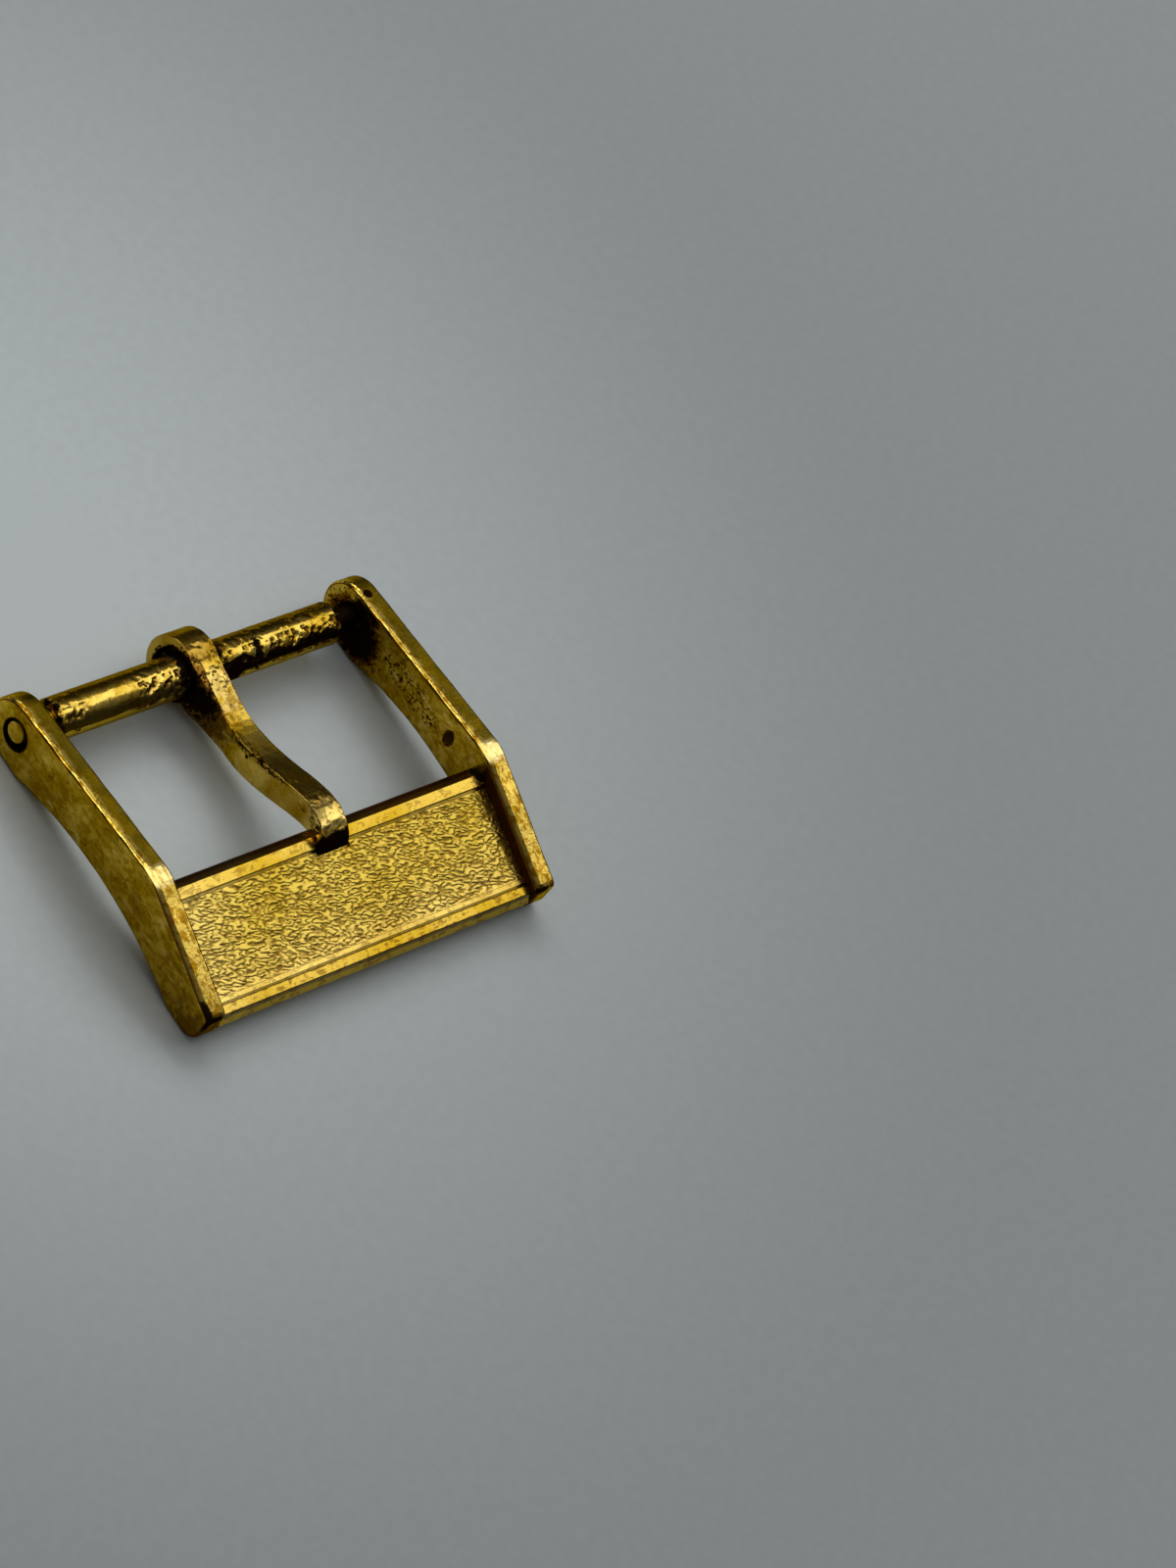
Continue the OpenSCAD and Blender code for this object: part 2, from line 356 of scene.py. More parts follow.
def places(thing):
    return [vertex.co.copy() for vertex in thing.data.vertices]


def mark_pressed(thing, before, depth):
    """Stores for the material how far each point was pressed in since its place before, as a share of a
    depth."""
    pressed = thing.data.attributes.new("pressed", "FLOAT", "POINT")
    for vertex, old, value in zip(thing.data.vertices, before, pressed.data):
        value.value = min(1.0, max(0.0, (old - vertex.co).dot(vertex.normal) / depth))


def dress(thing, name, body, node, material):
    """Names a piece, shrinks it to metres, puts it at the origin, ties it to its body, and hides the
    imported part of its node.
    """
    thing.name = name
    deselect()
    thing.select_set(True)
    bpy.context.view_layer.objects.active = thing
    bpy.ops.object.transform_apply(location=True, rotation=True, scale=True)
    bpy.ops.object.shade_smooth_by_angle(angle=radians(35))
    modify(thing, "WEIGHTED_NORMAL", keep_sharp=True, thresh=0.0, weight=80)
    thing.scale = (MM, MM, MM)
    bpy.ops.object.transform_apply(location=False, rotation=False, scale=True)
    thing.vertex_groups.clear()
    thing.data.materials.clear()
    thing.data.materials.append(material)
    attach(thing, body)
    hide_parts(node)


# Cheeks

def cheek(side):
    """The left cheek where side is -1, and the right one where it is 1."""
    inner = side * INNER_X
    thick = CHEEK_HIGH.x - CHEEK_LOW.x
    rise, fall = radians(RISE), radians(FALL)
    ear_top = Vector((EAR_BACK + EAR_R * sin(rise), EAR_R + EAR_R * cos(rise)))
    bend = Vector((-BEND_REACH, ear_top.y + (ear_top.x + BEND_REACH) * tan(rise)))
    nose_y = NOSE_L - FRONT_REACH
    nose = Vector((nose_y, bend.y - (bend.x - nose_y) * tan(fall)))
    arch_front, arch_rear = TOE_R + TOE_L - FRONT_REACH, EAR_BACK - HEEL_L
    half = (arch_rear - arch_front) / 2
    arch_r = (half * half + ARCH_H * ARCH_H) / (2 * ARCH_H)
    bend_rear = bend + BEND_L / 2 * Vector((cos(rise), -sin(rise)))
    bend_front = bend - BEND_L / 2 * Vector((cos(fall), sin(fall)))

    left, right = sorted((inner, inner + side * thick))
    drawn = Outline(left + EDGE_R, (EAR_BACK, 0))
    drawn.arc((EAR_BACK, EAR_R), 180 - RISE, 40)
    drawn.line(bend_rear, bend_rear.lerp(bend_front, 0.5) + Vector(BEND_LIFT), bend_front, nose)
    drawn.line(*curve(nose, nose - Vector(NOSE_EASE), (-FRONT_REACH, nose.y - NOSE_TURN),
                      (-FRONT_REACH, nose.y - NOSE_DROP), 6), (-FRONT_REACH, TOE_R))
    drawn.arc((TOE_R - FRONT_REACH, TOE_R), 90, 12)
    drawn.line((arch_front, 0))
    drawn.arc((arch_front + half, ARCH_H - arch_r), -2 * degrees(atan2(half, arch_r - ARCH_H)), 32)
    made = drawn.close()
    thicken(thick - EDGE_R - FAR_EDGE_R)
    round_face(made, left + EDGE_R, EDGE_R)
    round_face(made, right - FAR_EDGE_R, FAR_EDGE_R)
    cut_with(made, rod(20, EAR_HOLE_R, -HOLE_FORWARD, BAR_Z))
    if side > 0:
        dent(made, DIMPLE_AT, DIMPLE_RADII)
        dent(made, (*SPOT_AT, SPOT_TOP), SPOT_RADII)
    shave_bend(made, side, bend)
    cut_across(made, 1, CHEEK_LOW.y + 0.06, CHEEK_HIGH.y, WAVE_STEP)
    cut_across(made, 2, 0.07, CHEEK_HIGH.z - 0.05, WAVE_STEP)
    clear = weigh(made, "clear", lambda co: co.z / STILL_H)
    emboss(made, pattern("waves", WAVE_SIZE, 1), WAVE_H, clear)
    return made


def round_face(thing, x, radius):
    """Grows the flat face at an x outwards with a rounded border."""
    pick(thing, "polygons", lambda co: abs(co.x - x) < 0.001)
    turns = [radians(90) * i / 8 for i in range(9)]
    for last, now in zip(turns, turns[1:]):
        bpy.ops.mesh.inset(thickness=radius * (cos(last) - cos(now)), depth=radius * (sin(now) - sin(last)),
                           use_even_offset=True)
    bpy.ops.object.mode_set(mode="OBJECT")


def dent(thing, centre, radii):
    """Presses a rounded hollow into a piece."""
    deselect()
    bpy.ops.mesh.primitive_uv_sphere_add(segments=24, ring_count=12, radius=1, location=centre)
    ball = bpy.context.object
    ball.scale = radii
    cut_with(thing, ball)


def shave_bend(made, side, bend):
    """Takes the corner off where the chamfer that faces left turns down at the bend."""
    edge = INNER_X if side > 0 else -CHEEK_HIGH.x
    at = Vector((edge, BAR_Y + bend.x, bend.y))
    across = at + Vector((SHAVE_W, 0, 0))
    rear = at + SHAVE_REAR * Vector((0, cos(radians(RISE)), -sin(radians(RISE))))
    front = at - SHAVE_FRONT * Vector((0, cos(radians(FALL)), sin(radians(FALL))))
    normal = (rear - across).cross(front - across)
    normal = normal if normal.z > 0 else -normal
    bpy.context.view_layer.objects.active = made
    bpy.ops.object.mode_set(mode="EDIT")
    bpy.ops.mesh.select_all(action="SELECT")
    bpy.ops.mesh.bisect(plane_co=across, plane_no=normal, use_fill=True, clear_outer=True)
    bpy.ops.object.mode_set(mode="OBJECT")


# The front plate

def on_plate(down, up):
    """A point of the plate: how far down its slope from the rear ridge, and how far above its top."""
    slope = radians(PLATE_SLOPE)
    return Vector((-PLATE_REACH - down * cos(slope) - up * sin(slope),
                   PLATE_H - down * sin(slope) + up * cos(slope)))


def down_plate(co):
    """The place of a point of the frame on the plate, as (down, up)."""
    slope = radians(PLATE_SLOPE)
    out = Vector((co.y - BAR_Y + PLATE_REACH, co.z - PLATE_H))
    return -out.x * cos(slope) - out.y * sin(slope), -out.x * sin(slope) + out.y * cos(slope)


def front_plate():
    soft = 0.03
    brow = on_plate(PLATE_L, 0)
    drawn = Outline(PLATE_LOW.x, on_plate(-BEVEL_L, -PLATE_T))
    drawn.line(on_plate(-BEVEL_L, -BEVEL_D - soft), on_plate(-BEVEL_L + soft, -BEVEL_D + soft),
               on_plate(-soft, -soft), on_plate(soft, 0), on_plate(RIDGE_W - soft, 0),
               on_plate(RIDGE_W, -soft), on_plate(RIDGE_W + GROOVE_SLANT, -GROOVE_D),
               on_plate(FIELD_FROM - GROOVE_SLANT, -GROOVE_D), on_plate(FIELD_FROM, -FIELD_SINK))
    rows = int((LEDGE_FROM - FIELD_FROM) / GRAIN_STEP[1])
    for i in range(1, rows + 1):
        drawn.line(on_plate(FIELD_FROM + (LEDGE_FROM - FIELD_FROM) * i / rows, -FIELD_SINK))
    drawn.line(on_plate(LEDGE_FROM + 2 * GROOVE_SLANT, -LEDGE_SINK),
               on_plate(LEDGE_TO - GROOVE_SLANT, -LEDGE_SINK), on_plate(LEDGE_TO, -GROOVE_D),
               on_plate(RIDGE_FROM - GROOVE_SLANT, -GROOVE_D), on_plate(RIDGE_FROM, -soft),
               on_plate(RIDGE_FROM + soft, 0), on_plate(PLATE_L - soft, 0),
               *(brow - Vector(step) for step in BROW_CURVE))
    toe = Vector((PLATE_TOE_R - FRONT_REACH, PLATE_FOOT + PLATE_TOE_R))
    drawn.line(toe - PLATE_TOE_R * Vector((cos(radians(TOE_TURN)), sin(radians(TOE_TURN)))))
    drawn.arc(toe, 90 - TOE_TURN, 10)
    made = drawn.close()
    bpy.ops.mesh.flip_normals()
    columns = int(STRAP_W / GRAIN_STEP[0])
    bpy.ops.mesh.extrude_repeat(steps=columns, offset=(STRAP_W / columns, 0, 0), scale_offset=1.0)
    bpy.ops.mesh.select_all(action="SELECT")
    bpy.ops.mesh.normals_make_consistent(inside=False)
    bpy.ops.object.mode_set(mode="OBJECT")

    def in_field(co):
        down, up = down_plate(co)
        edge = min(down - FIELD_FROM, LEDGE_FROM - down, INNER_X - abs(co.x))
        return min(1.0, max(0.0, edge / GRAIN_FADE)) if abs(up + FIELD_SINK) < 0.01 else 0.0

    deselect()
    bpy.ops.object.empty_add(location=(0, 0, 0), rotation=(0, 0, radians(GRAIN_TURN)))
    lay = bpy.context.object
    lay.scale = GRAIN_STRETCH
    bpy.context.view_layer.update()
    grain = weigh(made, "grain", in_field)
    before = places(made)
    worms = pattern("worms", GRAIN_SIZE, stops=[(0.36, 1.0), (0.5, 0.0), (0.64, 1.0)])
    emboss(made, worms, GRAIN_H, grain, GRAIN_TOP, lay)
    mark_pressed(made, before, GRAIN_TOP * GRAIN_H)
    emboss(made, pattern("swell", SWELL_SIZE, 1), SWELL_H, grain)
    bpy.data.objects.remove(lay)

    def in_notch(co):
        down, up = down_plate(co)
        return abs(co.x) < NOTCH_W / 2 and down < NOTCH_L and up > -NOTCH_D

    slope = radians(PLATE_SLOPE)
    floor = on_plate(0, -NOTCH_D)
    pick(made, "vertices", in_notch)
    bpy.ops.transform.resize(value=(1, 1, 0), orient_type="GLOBAL",
                             orient_matrix=Matrix.Rotation(slope, 3, "X"),
                             orient_matrix_type="GLOBAL", constraint_axis=(False, False, True),
                             center_override=(0, BAR_Y + floor.x, floor.y))
    bpy.ops.object.mode_set(mode="OBJECT")
    return made


# The tongue

def tongue():
    root = EYE_BACK - EYE_R
    ridge = on_plate(0, 0)
    knuckle = ridge + Vector((KNUCKLE_BACK, KNUCKLE_H))
    dip = Vector((root - DIP[0], BAR_Z + DIP[1]))
    belly = Vector((root - BELLY[0], BAR_Z - BELLY[1]))
    tip_front = on_plate(TIP_REACH, TIP_GAP + TIP_T - NOTCH_D)
    tip_low = on_plate(TIP_REACH - TIP_SLANT, TIP_GAP - NOTCH_D)
    tip_rear = on_plate(-TIP_OVER, TIP_GAP - NOTCH_D)
    neck = Vector((EYE_BACK - NECK_FORE, EYE_Z + sqrt(EYE_R ** 2 - NECK_FORE ** 2)))
    throat = Vector((root + THROAT_BACK, EYE_Z - sqrt(EYE_R ** 2 - (EYE_R - THROAT_BACK) ** 2)))
    to_neck = degrees(atan2(neck.y - EYE_Z, neck.x - EYE_BACK))
    to_throat = degrees(atan2(throat.y - EYE_Z, throat.x - EYE_BACK))

    side = Outline(-2, neck)
    side.line(*curve(neck, neck - Vector((0.8, 0.26)), dip + Vector((0.7, 0.06)), dip, 14))
    side.line(*curve(dip, dip - Vector((2.1, 0.12)), knuckle + Vector((1.4, -0.09)), knuckle, 20))
    side.line(*curve(knuckle, knuckle - Vector((0.45, 0.02)), tip_front + Vector((0.08, 0.62)),
                     tip_front, 12))
    side.line(tip_low, tip_rear)
    side.line(*curve(tip_rear, tip_rear + Vector((1.3, -0.1)), belly - Vector((1.9, -0.15)), belly, 18))
    side.line(*curve(belly, belly + Vector((0.9, -0.02)), throat - Vector((0.5, 0.35)), throat, 12))
    side.arc((EYE_BACK, EYE_Z), to_neck - to_throat, 80)
    made = side.close()
    thicken(4)

    behind, ahead = 2.2, -12
    eye, stem, tip = EYE_W / 2, STEM_W / 2, TIP_W / 2
    neck_back = root - STEM_FROM
    plan = [(eye - EYE_SHIFT, behind), (eye - EYE_SHIFT, -0.1), (stem - STEM_SHIFT, neck_back),
            (tip - STEM_SHIFT, -PLATE_REACH), (tip - STEM_SHIFT, ahead),
            (-tip - STEM_SHIFT, ahead), (-tip - STEM_SHIFT, -PLATE_REACH),
            (-stem - STEM_SHIFT, neck_back), (-eye - EYE_SHIFT, -0.3), (-eye - EYE_SHIFT, behind)]
    stock = one_vertex((plan[0][0], BAR_Y + plan[0][1], -1))
    extrude_along([(x, back, 0) for x, back in plan])
    bpy.ops.mesh.select_all(action="SELECT")
    bpy.ops.mesh.edge_face_add()
    bpy.ops.mesh.extrude_region_move(TRANSFORM_OT_translate={"value": (0, 0, 6)})
    bpy.ops.mesh.select_all(action="SELECT")
    bpy.ops.mesh.normals_make_consistent(inside=False)
    bpy.ops.object.mode_set(mode="OBJECT")
    cut_with(made, stock, "INTERSECT")
    cut_with(made, rod(4, EYE_HOLE_R, HOLE_BACK, BAR_Z - HOLE_DROP))
    modify(made, "REMESH", mode="VOXEL", voxel_size=VOXEL)
    modify(made, "SMOOTH", factor=0.5, iterations=9)

    tops = {}
    for vertex in made.data.vertices:
        place = round(vertex.co.y * 10)
        tops[place] = max(tops.get(place, 0), vertex.co.z)

    def under_top(co):
        return tops[round(co.y * 10)] - co.z

    def in_lumps(co):
        back = co.y - BAR_Y
        if -2.4 < back < 0.5 and co.z > 2:
            return 1.0
        knuckle = min(1.0, (-6.7 - back) * 2)
        return 0.9 * knuckle if back < -6.8 and co.z > 2.9 else 0.1

    def in_scar(co):
        """The torn line along the left upper edge."""
        back = co.y - BAR_Y
        if not SCAR_TO < back < SCAR_FROM:
            return 0.0
        ends = min(1.0, (SCAR_FROM - back) * 2, (back - SCAR_TO) * 2)
        return ends * max(0.0, 1 - hypot((co.x + 0.6) * 3.2, (under_top(co) - 0.06) * 3))

    before = places(made)
    emboss(made, pattern("lumps", 0.3, 1), LUMP_H, weigh(made, "lumps", in_lumps))
    emboss(made, pattern("tears", 0.2, 1, stops=[(0.4, 0.0), (0.48, 1.0), (1.0, 1.0)]), TEAR_D,
           weigh(made, "scar", in_scar), 1.0)
    mark_pressed(made, before, LUMP_PRESS)
    for name, measure in (("torn", in_scar), ("under", under_top)):
        stored = made.data.attributes.new(name, "FLOAT", "POINT")
        for vertex, value in zip(made.data.vertices, stored.data):
            value.value = measure(vertex.co)
    return made


# The strap bar

def turned(profile, steps):
    """A round piece along X. profile is its half section, as (x, radius), from one end to the other."""
    made = one_vertex((profile[0][0], BAR_Y, BAR_Z + profile[0][1]))
    extrude_along([(x, 0, radius) for x, radius in profile])
    bpy.ops.mesh.select_all(action="SELECT")
    bpy.ops.mesh.spin(steps=steps, dupli=False, angle=radians(360), center=(0, BAR_Y, BAR_Z),
                      axis=(1, 0, 0))
    bpy.ops.mesh.select_all(action="SELECT")
    bpy.ops.mesh.remove_doubles(threshold=0.001)
    bpy.ops.mesh.normals_make_consistent(inside=False)
    bpy.ops.object.mode_set(mode="OBJECT")
    return made


def bar_tube():
    left, right = TUBE_LOW.x, TUBE_HIGH.x
    hole_r = TIP_R + SLIDE_GAP
    length = right - left - 2 * RIM
    rows = int(length / RING_STEP)
    bulge = 0.3 * RIM
    profile = [(left + END_WALL, hole_r), (left, hole_r), (left, BAR_R - RIM),
               (left + bulge, BAR_R - bulge)]
    profile += [(left + RIM + length * i / rows, BAR_R) for i in range(rows + 1)]
    profile += [(right - bulge, BAR_R - bulge), (right, BAR_R - RIM), (right, hole_r),
                (right - END_WALL, hole_r), (right - END_WALL, BORE_R), (left + END_WALL, BORE_R),
                (left + END_WALL, hole_r)]
    made = turned(profile, TUBE_STEPS)

    def in_pits(co):
        """Pits lie on the front of the bar, above its lower side, and spare its smooth stretch."""
        if hypot(co.y - BAR_Y, co.z - BAR_Z) < BAR_R - 0.04:
            return 0.0
        share = 1.0 if co.y < BAR_Y - 0.1 else 0.25
        if co.z < BAR_Z + 0.15:
            share *= 0.15
        if SMOOTH_FROM < co.x < SMOOTH_TO:
            share *= max(0.08, 1 - (co.x - SMOOTH_FROM) * 3, 1 - (SMOOTH_TO - co.x) * 3)
        return share

    skin = weigh(made, "skin", in_pits)
    before = places(made)
    pits = pattern("pits", 0.26, 1, stops=[(0.36, 0.0), (0.48, 1.0), (1.0, 1.0)])
    emboss(made, pits, PIT_D, skin, 1.0)
    mark_pressed(made, before, PIT_PRESS)
    emboss(made, pattern("dints", 0.34), DINT_H, skin)
    return made


def pivot(side):
    """The left sprung pivot where side is -1, and the right one where it is 1."""
    outer = PIVOT_LOW.x if side < 0 else PIVOT_HIGH.x
    tube_end = TUBE_LOW.x if side < 0 else TUBE_HIGH.x
    head_from = tube_end - side * (END_WALL + SLIDE_GAP)
    head_to = head_from - side * HEAD_L
    soft = 0.06
    return turned([
        (outer, 0), (outer, TIP_R - soft), (outer - side * soft * 0.3, TIP_R - soft * 0.3),
        (outer - side * soft, TIP_R), (head_from, TIP_R), (head_from, HEAD_R - soft),
        (head_from - side * soft, HEAD_R), (head_to + side * soft, HEAD_R), (head_to, HEAD_R - soft),
        (head_to, 0)], PIVOT_STEPS)


# Materials

class Nodes:
    """Writes a material's nodes from left to right. Places and sizes in it are millimetres."""

    def __init__(self, name):
        self.material = bpy.data.materials.new(name)
        self.material.use_nodes = True
        self.tree = self.material.node_tree
        self.tree.nodes.clear()
        output = self.add("ShaderNodeOutputMaterial")
        self.shader = self.add("ShaderNodeBsdfPrincipled")
        self.put(output.inputs[0], self.shader.outputs[0])
        metres = self.add("ShaderNodeTexCoord")
        millimetres = self.add("ShaderNodeMapping")
        millimetres.inputs["Scale"].default_value = (1 / MM,) * 3
        self.put(millimetres.inputs["Vector"], metres.outputs["Object"])
        self.place = millimetres.outputs[0]

    def add(self, kind, **settings):
        made = self.tree.nodes.new(kind)
        for key, value in settings.items():
            setattr(made, key, value)
        return made

    def put(self, socket, value):
        if isinstance(value, bpy.types.NodeSocket):
            self.tree.links.new(value, socket)
        else:
            socket.default_value = value

    def noise(self, size, detail=2.0, stretch=(1, 1, 1), twist=0.0, at=(0, 0, 0)):
        """Noise whose blots are about size wide, longer along X, Y and Z where stretch is over 1."""
        scaled = self.add("ShaderNodeMapping")
        self.put(scaled.inputs["Vector"], self.place)
        scaled.inputs["Location"].default_value = at
        scaled.inputs["Scale"].default_value = [1 / (size * s) for s in stretch]
        made = self.add("ShaderNodeTexNoise")
        self.put(made.inputs["Vector"], scaled.outputs[0])
        made.inputs["Scale"].default_value = 1.0
        made.inputs["Detail"].default_value = detail
        made.inputs["Distortion"].default_value = twist
        return made.outputs[0]

    def sway(self, amount, size, detail, **where):
        """Noise round 0, to make a straight border wander."""
        return self.both(self.minus(self.noise(size, detail, **where), 0.5), amount)

    def between(self, value, low, high):
        """0 where the value is at low, 1 where it is at high."""
        made = self.add("ShaderNodeMapRange", interpolation_type="SMOOTHSTEP")
        self.put(made.inputs["Value"], value)
        if low > high:
            low, high = high, low
            made.inputs["To Min"].default_value, made.inputs["To Max"].default_value = 1, 0
        made.inputs["From Min"].default_value = low
        made.inputs["From Max"].default_value = high
        return made.outputs[0]

    def within(self, value, start, full_from, full_to, end):
        """0 up to start, 1 from full_from to full_to, and 0 again from end on."""
        return self.both(self.between(value, start, full_from), self.between(value, end, full_to))

    def math(self, operation, *values):
        made = self.add("ShaderNodeMath", operation=operation)
        for socket, value in zip(made.inputs, values):
            self.put(socket, value)
        return made.outputs[0]

    def plus(self, a, b):
        return self.math("ADD", a, b)

    def minus(self, a, b):
        return self.math("SUBTRACT", a, b)

    def both(self, share, *others):
        for other in others:
            share = self.math("MULTIPLY", share, other)
        return share

    def either(self, share, *others):
        for other in others:
            share = self.math("MAXIMUM", share, other)
        return share

    def mix(self, share, a, b):
        """Colour a where the share is 0, colour b where it is 1."""
        made = self.add("ShaderNodeMix", data_type="RGBA")
        self.put(made.inputs["Factor"], share)
        self.put(made.inputs[6], a)
        self.put(made.inputs[7], b)
        return made.outputs[2]

    def blend(self, share, a, b):
        """Number a where the share is 0, number b where it is 1."""
        made = self.add("ShaderNodeMix")
        self.put(made.inputs["Factor"], share)
        self.put(made.inputs[2], a)
        self.put(made.inputs[3], b)
        return made.outputs[0]

    def coat(self, colour, *coats):
        """Lays coats over a colour, one after the other, each as (share, strength, colour)."""
        for share, strength, over in coats:
            colour = self.mix(self.both(share, strength), colour, over)
        return colour

    def distance(self, centre, stretch=(1, 1, 1)):
        """Distance from a point, where a stretch over 1 makes that way count less."""
        moved = self.add("ShaderNodeVectorMath", operation="SUBTRACT")
        self.put(moved.inputs[0], self.place)
        moved.inputs[1].default_value = centre
        scaled = self.add("ShaderNodeVectorMath", operation="DIVIDE")
        self.put(scaled.inputs[0], moved.outputs[0])
        scaled.inputs[1].default_value = stretch
        made = self.add("ShaderNodeVectorMath", operation="LENGTH")
        self.put(made.inputs[0], scaled.outputs[0])
        return made.outputs["Value"]

    def off_axis(self, y, z):
        """Distance from a line along X."""
        return self.distance((0, y, z), (1000, 1, 1))

    def along(self, direction, start):
        """How far along a direction a place lies from a start."""
        made = self.add("ShaderNodeVectorMath", operation="DOT_PRODUCT")
        self.put(made.inputs[0], self.place)
        made.inputs[1].default_value = direction
        return self.minus(made.outputs["Value"], Vector(direction).dot(Vector(start)))

    def axis(self, name):
        made = self.add("ShaderNodeSeparateXYZ")
        self.put(made.inputs[0], self.place)
        return made.outputs[name]

    def stored(self, name):
        return self.add("ShaderNodeAttribute", attribute_name=name).outputs["Fac"]

    def bump(self, height, depth):
        made = self.add("ShaderNodeBump")
        self.put(made.inputs["Height"], height)
        made.inputs["Strength"].default_value = 1.0
        made.inputs["Distance"].default_value = depth * MM
        self.put(self.shader.inputs["Normal"], made.outputs[0])

    def surface(self, colour, rough, metal=1.0):
        self.put(self.shader.inputs["Base Color"], colour)
        self.put(self.shader.inputs["Roughness"], rough)
        self.put(self.shader.inputs["Metallic"], metal)


CREAM = (0.95, 0.76, 0.30, 1)
BRIGHT_GOLD = (0.88, 0.62, 0.12, 1)
DEEP_GOLD = (0.56, 0.34, 0.010, 1)
FIELD_GOLD = (0.58, 0.42, 0.055, 1)
EDGE_GOLD = (0.55, 0.42, 0.10, 1)
OLIVE = (0.36, 0.25, 0.005, 1)
AMBER = (0.42, 0.20, 0.004, 1)
BROWN = (0.15, 0.055, 0.005, 1)
DULL_BROWN = (0.13, 0.045, 0.0, 1)
WRINKLE_BROWN = (0.20, 0.11, 0.006, 1)
# Black for real dirt, also used for painted shade and painted dark reflections.
DIRT_AND_SHADE = (0.012, 0.006, 0.003, 1)
SCRATCH_D = 0.003


class Gold(Nodes):
    """Nodes with the noises that all worn gold follows."""

    def __init__(self, name):
        super().__init__(name)
        self.cloud = self.noise(1.3, 4, twist=0.6)
        self.speck = self.noise(0.3, 4, twist=0.8, at=(3, 1, 7))
        self.streak = self.noise(0.16, 3, stretch=(1, 5, 1.4), twist=0.3, at=(2, 9, 5))
        self.mottle = self.noise(0.22, 4, stretch=(1, 1.5, 1), twist=0.6, at=(1, 1, 6))


def worn_gold(name, tarnish, rough=0.16, dirt=None, blots=0.7, face=None):
    """Gold plate with cloudy tarnish and brown blots. dirt is a function that gives the shares of black,
    which is dirt and in places painted shade, of brown stain, and of pale painted highlights. face is the X
    of a cheek's flat side."""
    n = Gold(name)
    green = n.between(n.noise(0.7, 3, at=(6, 4, 1)), 0.45, 0.65)
    colour = n.mix(n.between(n.cloud, 0.45 - 0.2 * tarnish, 0.7), BRIGHT_GOLD, DEEP_GOLD)
    colour = n.coat(colour, (green, 0.6 * tarnish, OLIVE),
                    (n.between(n.mottle, 0.47, 0.6), 0.8 * tarnish, AMBER))
    stain = n.either(n.both(n.between(n.speck, 0.54, 0.68), n.between(n.cloud, 0.36, 0.66)),
                     n.both(n.between(n.streak, 0.5, 0.7), 0.5 * tarnish))
    stain = n.both(stain, blots)
    shine = n.blend(n.between(n.cloud, 0.35, 0.7), rough, rough + 0.1)
    shine = n.plus(shine, n.both(stain, 0.25))
    if face:
        colour, stain, shine = flat_side(n, face, colour, stain, shine)
    black, brown, painted_glint = dirt(n) if dirt else (0.0, 0.0, 0.0)
    # Coats of pale painted highlight, brown stain, and black that is dirt and in places painted shade.
    colour = n.coat(colour, (painted_glint, 1.0, CREAM), (n.either(stain, brown), 1.0, BROWN), (black, 1.0, DIRT_AND_SHADE))
    n.surface(colour, n.blend(black, shine, 0.6))
    n.shader.inputs["Specular Tint"].default_value = EDGE_GOLD
    fine = n.noise(0.1, 3, at=(5, 5, 2))
    n.bump(n.plus(fine, n.both(n.speck, 1.5)), SCRATCH_D)
    return n.material


def flat_side(n, face, colour, stain, shine):
    """A cheek's flat side is dull and has a brown border. The edge above it is worn bright. Painted shade
    makes the top olive behind the bend, a painted highlight makes it pale at the bend, and a painted dark
    reflection lies as a line in front of the bend."""
    away = n.math("ABSOLUTE", n.minus(n.axis("X"), face))
    past_bend = n.minus(BEND_Y, n.axis("Y"))
    fore = n.between(past_bend, 0.1, 0.7)
    patch = n.plus(n.both(n.cloud, 0.5), n.both(n.mottle, 0.5))
    dull = n.coat(n.mix(0.5, colour, DEEP_GOLD), (n.between(n.streak, 0.42, 0.3), 0.3, CREAM),
                  (n.between(patch, 0.42, 0.6), 0.35, DULL_BROWN))
    # Painted dark reflection: a dark line along the rounded edge in front of the bend.
    wavy = n.plus(away, n.both(n.minus(n.speck, 0.5), 0.08))
    line = n.both(fore, n.between(away, 0.01, 0.022), n.between(wavy, 0.25, 0.2))
    wide = n.either(n.between(away, 0.4, 0.2), n.both(fore, 0.9))
    worn = n.both(n.between(away, 0.05, 0.06), wide, n.between(n.mottle, 0.58, 0.48))
    # Painted shade: the top behind the bend is coated olive.
    painted_dark_run = n.both(n.between(past_bend, -0.3, -0.7), n.between(away, 0.25, 0.4))
    # Painted highlight: a pale patch on the facet where the top bends.
    painted_facet_highlight = n.both(n.between(n.off_axis(BEND_Y, 3.4), 0.55, 0.35), n.between(away, 0.04, 0.06))
    colour = n.mix(n.between(away, 0.05, 0.015), colour, dull)
    colour = n.coat(colour, (painted_dark_run, 0.7, OLIVE), (worn, 0.75, BRIGHT_GOLD),
                    (painted_facet_highlight, n.between(n.streak, 0.7, 0.4), CREAM), (line, 0.8, DIRT_AND_SHADE))
    stain = n.both(stain, n.minus(1.0, n.either(worn, painted_facet_highlight)))
    border = n.within(away, 0.01, 0.022, 0.038, 0.05)
    return colour, n.either(stain, border), n.blend(line, shine, 0.5)


def ragged(n, distance, reach, fade, size, amount):
    """A share that falls from 1 to 0 round a distance, with a ragged border. amount is about how far the
    border strays, and size is how wide its teeth are."""
    border = n.sway(amount * 4, size, 4, twist=1.0, at=(1, 8, 3))
    return n.between(n.plus(distance, border), reach + fade, reach - fade)


def curls(n, size, wide):
    """Thin winding lines."""
    wave = n.minus(n.noise(size, 2, twist=1.5, at=(5, 2, 8)), 0.5)
    return n.between(n.math("ABSOLUTE", wave), wide, 0.4 * wide)


